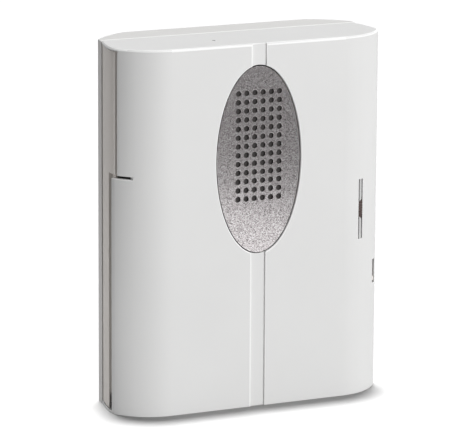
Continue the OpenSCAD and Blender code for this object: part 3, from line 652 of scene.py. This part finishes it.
coverEdges = {
    "wide": 0.00020,
    "lines": [
        {"x": -0.00305, "y": -0.0444, "wide": 0.00060},  # channel's left edge
        {"z": 0.0750, "y": -0.0436, "wide": 0.00050},  # channel's top end
        {"x": 0.00305, "y": -0.0444, "wide": 0.00030},  # channel's right edge
        {"y": -0.0444, "wide": 0.00050},  # rim of the oval opening
        {"z": 0.0225, "wide": 0.00045},  # lower lip of the slit
        {"y": -0.0340, "wide": 0.00035},  # cover's left edge above the slit
        {"y": -0.0310, "wide": 0.00035},  # wing's edge below the slit
    ],
    "shadedHollows": [  # boxes from corner to corner, and how much painted shade they take
        ((0.04528, -0.05, -0.0097), (0.04742, -0.03, 0.0155), 0.30),  # wheel recess
        ((0.04528, -0.05, -0.0097), (0.04582, -0.03, 0.0155), 0.75),  # its left rail
        ((0.04688, -0.05, -0.0097), (0.04742, -0.03, 0.0155), 0.85),  # its right rail
        ((-0.06, -0.05, -0.07405), (0.06, 0.0, -0.07395), 0.5),  # floor seen through the foot notch
        ((-0.0155, -0.0325, 0.0720), (-0.0135, -0.0305, 0.07499), 0.95),  # vent in the top
    ],
}
trayEdges = {"wide": 0.00018}
chassisEdges = {
    "wide": 0.00018,
    # boxes that take painted shade, with its amount
    "shadedHollows": [
        ((-0.05455, -0.05, -0.0755), (-0.05445, 0.0, -0.0690), 0.8),  # wall behind the foot notch
        ((-0.0590, -0.02735, -0.0755), (-0.0540, -0.02725, 0.0300), 0.42),  # groove beside the wing
    ],
}
grilleEdges = {"wide": 0.00010, "smooth": 20.0}
wheelEdges = {"wide": 0.00008}
knobEdges = {"wide": 0.00020}
grommetEdges = {"wide": 0.00030}
softCopy("coverShell", "front_cover", "unit", coverEdges, easeSet)
softCopy("trayShell", "rear_shell", "wall_tray", trayEdges, easeSet)
softCopy("chassisBody", "chassis", "unit", chassisEdges, easeSet)
softCopy("grillePlate", "grille_plate", "unit", grilleEdges, easeSet)
softCopy("volumeWheel", "volume_wheel", "wheel", wheelEdges, easeSet)
softCopy("selectorKnob", "switch_knob", "selector", knobEdges, easeSet)
softCopy("cableGrommet", "cable_grommet", "wall_tray", grommetEdges, easeSet)
print("moulded edges eased")

# soft and wound pieces


def spinForm(profile, opts, closed=False):
    # profile of (radius, depth) points in mm, turned about the loudspeaker's axis
    bm = bmesh.new()
    points = [bm.verts.new((r * mm, -d * mm, 0.0)) for r, d in profile]
    lines = [bm.edges.new(pair) for pair in zip(points, points[1:])]
    if closed:
        lines.append(bm.edges.new((points[-1], points[0])))
    bmesh.ops.spin(bm, geom=points + lines, cent=(0.0, 0.0, 0.0), axis=(0.0, 1.0, 0.0), angle=2 * math.pi,
                   steps=opts["steps"], use_merge=True)
    bmesh.ops.remove_doubles(bm, verts=bm.verts, dist=sameSpot)
    bmesh.ops.translate(bm, verts=bm.verts, vec=(0.0, 0.0, opts["axisZ"]))
    bmesh.ops.recalc_face_normals(bm, faces=bm.faces)
    return bm


spiderSet = {"axisZ": 0.030, "steps": 80, "inner": 4.8, "outer": 11.2, "flat": 0.5, "depth": 30.6, "waves": 4,
             "points": 10, "swing": 0.20, "thick": 0.28}


def makeSpider(opts):
    start, end = opts["inner"] + opts["flat"], opts["outer"] - opts["flat"]
    middle = opts["depth"] + opts["thick"] / 2
    profile = [(opts["inner"], middle)]
    count = opts["waves"] * opts["points"]
    for i in range(count + 1):
        lift = opts["swing"] * (1.0 - math.cos(2 * math.pi * opts["waves"] * i / count))
        profile.append((start + (end - start) * i / count, middle + lift))
    profile.append((opts["outer"], middle))
    bm = spinForm(profile, opts)
    bmesh.ops.solidify(bm, geom=bm.faces[:], thickness=opts["thick"] * mm)
    piece = addPiece("speakerSpider", bm, "unit", finishes["amber_cloth"])
    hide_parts("speaker_spider")


surroundSet = {"axisZ": 0.030, "steps": 96, "lip": 16.1, "rollAt": 18.85, "rollR": 1.65, "outer": 23.1,
               "depth": 40.2, "thick": 0.38, "arc": 16}


def makeSurround(opts):
    profile = [(opts["lip"], opts["depth"])]
    for i in range(opts["arc"] + 1):
        a = math.pi * i / opts["arc"]
        out, up = opts["rollR"] * math.cos(a), opts["rollR"] * math.sin(a)
        profile.append((opts["rollAt"] - out, opts["depth"] - up))
    profile.append((opts["outer"], opts["depth"]))
    bm = spinForm(profile, opts)
    bmesh.ops.solidify(bm, geom=bm.faces[:], thickness=opts["thick"] * mm)
    piece = addPiece("speakerSurround", bm, "unit", finishes["black_rubber"])
    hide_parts("speaker_surround")


gasketSet = {"axisZ": 0.030, "steps": 96, "inner": 20.8, "outer": 23.0, "back": 40.4, "front": 41.2,
             "round": 0.00025, "arc": 3, "sharp": 60.0}


def makeGasket(opts):
    corners = [(opts["inner"], opts["back"]), (opts["outer"], opts["back"]),
               (opts["outer"], opts["front"]), (opts["inner"], opts["front"])]
    bm = spinForm(corners, opts, closed=True)
    rims = [e for e in bm.edges if e.calc_face_angle() > math.radians(opts["sharp"])]
    bmesh.ops.bevel(bm, geom=rims, offset=opts["round"], offset_type="OFFSET", affect="EDGES",
                    segments=opts["arc"], profile=0.5, material=-1)
    piece = addPiece("speakerGasket", bm, "unit", finishes["black_rubber"])
    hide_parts("speaker_gasket")


clothSet = {"half": (0.0167, 0.0367), "middle": 0.0275, "depth": 0.04255, "thick": 0.00042, "sides": 120}


def makeCloth(opts):
    wide, high = opts["half"]
    bm = bmesh.new()
    bmesh.ops.create_circle(bm, cap_ends=True, segments=opts["sides"], radius=1.0)
    bmesh.ops.rotate(bm, verts=bm.verts, matrix=Matrix.Rotation(math.radians(90.0), 3, "X"))
    bmesh.ops.scale(bm, verts=bm.verts, vec=(wide, 1.0, high))
    bmesh.ops.translate(bm, verts=bm.verts, vec=(0.0, -opts["depth"] - opts["thick"] / 2, opts["middle"]))
    bmesh.ops.solidify(bm, geom=bm.faces[:], thickness=opts["thick"])
    bmesh.ops.recalc_face_normals(bm, faces=bm.faces)
    piece = addPiece("grilleCloth", bm, "unit", finishes["black_cloth"])
    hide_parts("grille_cloth")


wireSet = {"radius": 0.6, "turn": 1.6, "most": 0.48, "sides": 4, "steps": 6}
leadSet = {"back": 18.4, "tagX": 1.5, "tagZ": 22.0, "tagDepth": 19.2, "runZ": 11.3, "endX": 30.905,
           "boardBack": 20.5}
powerSet = {"fromX": 11.6, "toX": 31.105, "depth": 24.1, "boardTop": 22.1, "heights": (-12.8, -16.8)}


def makeWires(name, node, routes, opts, finish):
    # insulated wires with eased bends, routes of (x, depth, z) points in mm
    data = bpy.data.curves.new(name, "CURVE")
    data.dimensions = "3D"
    data.bevel_depth = opts["radius"] * mm
    data.bevel_resolution = opts["sides"]
    data.resolution_u = opts["steps"]
    data.use_fill_caps = True
    for route in routes:
        corners = [Vector((x, -d, z)) * mm for x, d, z in route]
        guide = [corners[0]]
        for before, here, after in zip(corners, corners[1:], corners[2:]):
            for other in (before, after):
                ease = min(opts["turn"] * mm, (other - here).length * opts["most"])
                guide.append(here + (other - here).normalized() * ease)
                if other is before:
                    guide.append(here)
        guide.append(corners[-1])
        line = data.splines.new("NURBS")
        line.points.add(len(guide) - 1)
        for point, co in zip(line.points, guide):
            point.co = (*co, 1.0)
        line.order_u = 3
        line.use_endpoint_u = True
    data.materials.append(finish)
    piece = bpy.data.objects.new(name, data)
    scene.collection.objects.link(piece)
    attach(piece, "unit")
    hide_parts(node)


cellSet = {"count": 4, "firstX": -41.25, "pitch": 14.7, "depth": 24.6, "low": -59.8, "high": -4.8,
           "gap": 3.55, "steps": 64, "merge": 1e-6, "smooth": 40.0,
           "profile": [(0.0, 0.35), (4.5, 0.35), (4.9, 0.12), (5.4, 0.0), (6.5, 0.0), (6.9, 0.18), (7.1, 0.6),
                       (7.1, 1.6), (7.1, 48.2), (7.1, 49.2), (6.9, 49.62), (6.5, 49.8), (5.9, 49.8),
                       (5.5, 49.5), (3.6, 49.5), (3.3, 49.8), (0.0, 49.8)]}


def makeCells(opts):
    # a row of cells, every second one the other way up
    bm = bmesh.new()
    for i in range(opts["count"]):
        points = [bm.verts.new((r * mm, 0.0, (z + opts["gap"]) * mm)) for r, z in opts["profile"]]
        lines = [bm.edges.new(pair) for pair in zip(points, points[1:])]
        before = len(bm.verts) - len(points)
        bmesh.ops.spin(bm, geom=points + lines, cent=(0.0, 0.0, 0.0), axis=(0.0, 0.0, 1.0), angle=2 * math.pi,
                       steps=opts["steps"], use_merge=True)
        bm.verts.ensure_lookup_table()
        fresh = bm.verts[before:]
        if i % 2:
            bmesh.ops.rotate(bm, verts=fresh, matrix=Matrix.Rotation(math.pi, 3, "X"))
        base = opts["high"] if i % 2 else opts["low"]
        place = Vector((opts["firstX"] + opts["pitch"] * i, -opts["depth"], base)) * mm
        bmesh.ops.translate(bm, verts=fresh, vec=place)
    bmesh.ops.remove_doubles(bm, verts=bm.verts, dist=opts["merge"])
    bmesh.ops.recalc_face_normals(bm, faces=bm.faces)
    piece = addPiece("batteryCells", bm, "unit", finishes["cell_wrap"], opts["smooth"])
    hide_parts("battery_cells")


makeSpider(spiderSet)
makeSurround(surroundSet)
makeGasket(gasketSet)
makeCloth(clothSet)
speakerRoutes = []
for side in (-1, 1):
    tagX, back, run = leadSet["tagX"] * side, leadSet["back"], leadSet["runZ"] + side
    speakerRoutes.append([(tagX, leadSet["tagDepth"], leadSet["tagZ"]), (tagX, back, leadSet["tagZ"]),
                          (tagX, back, run), (leadSet["endX"], back, run),
                          (leadSet["endX"], leadSet["boardBack"], run)])
makeWires("speakerLeads", "speaker_leads", speakerRoutes, wireSet, finishes["red_plastic"])
powerRoutes = [[(powerSet["fromX"], powerSet["depth"], z), (powerSet["toX"], powerSet["depth"], z),
                (powerSet["toX"], powerSet["boardTop"], z)] for z in powerSet["heights"]]
makeWires("batteryLeads", "battery_leads", powerRoutes, wireSet, blackWire)
makeCells(cellSet)
print("soft and wound pieces made")

print("done")
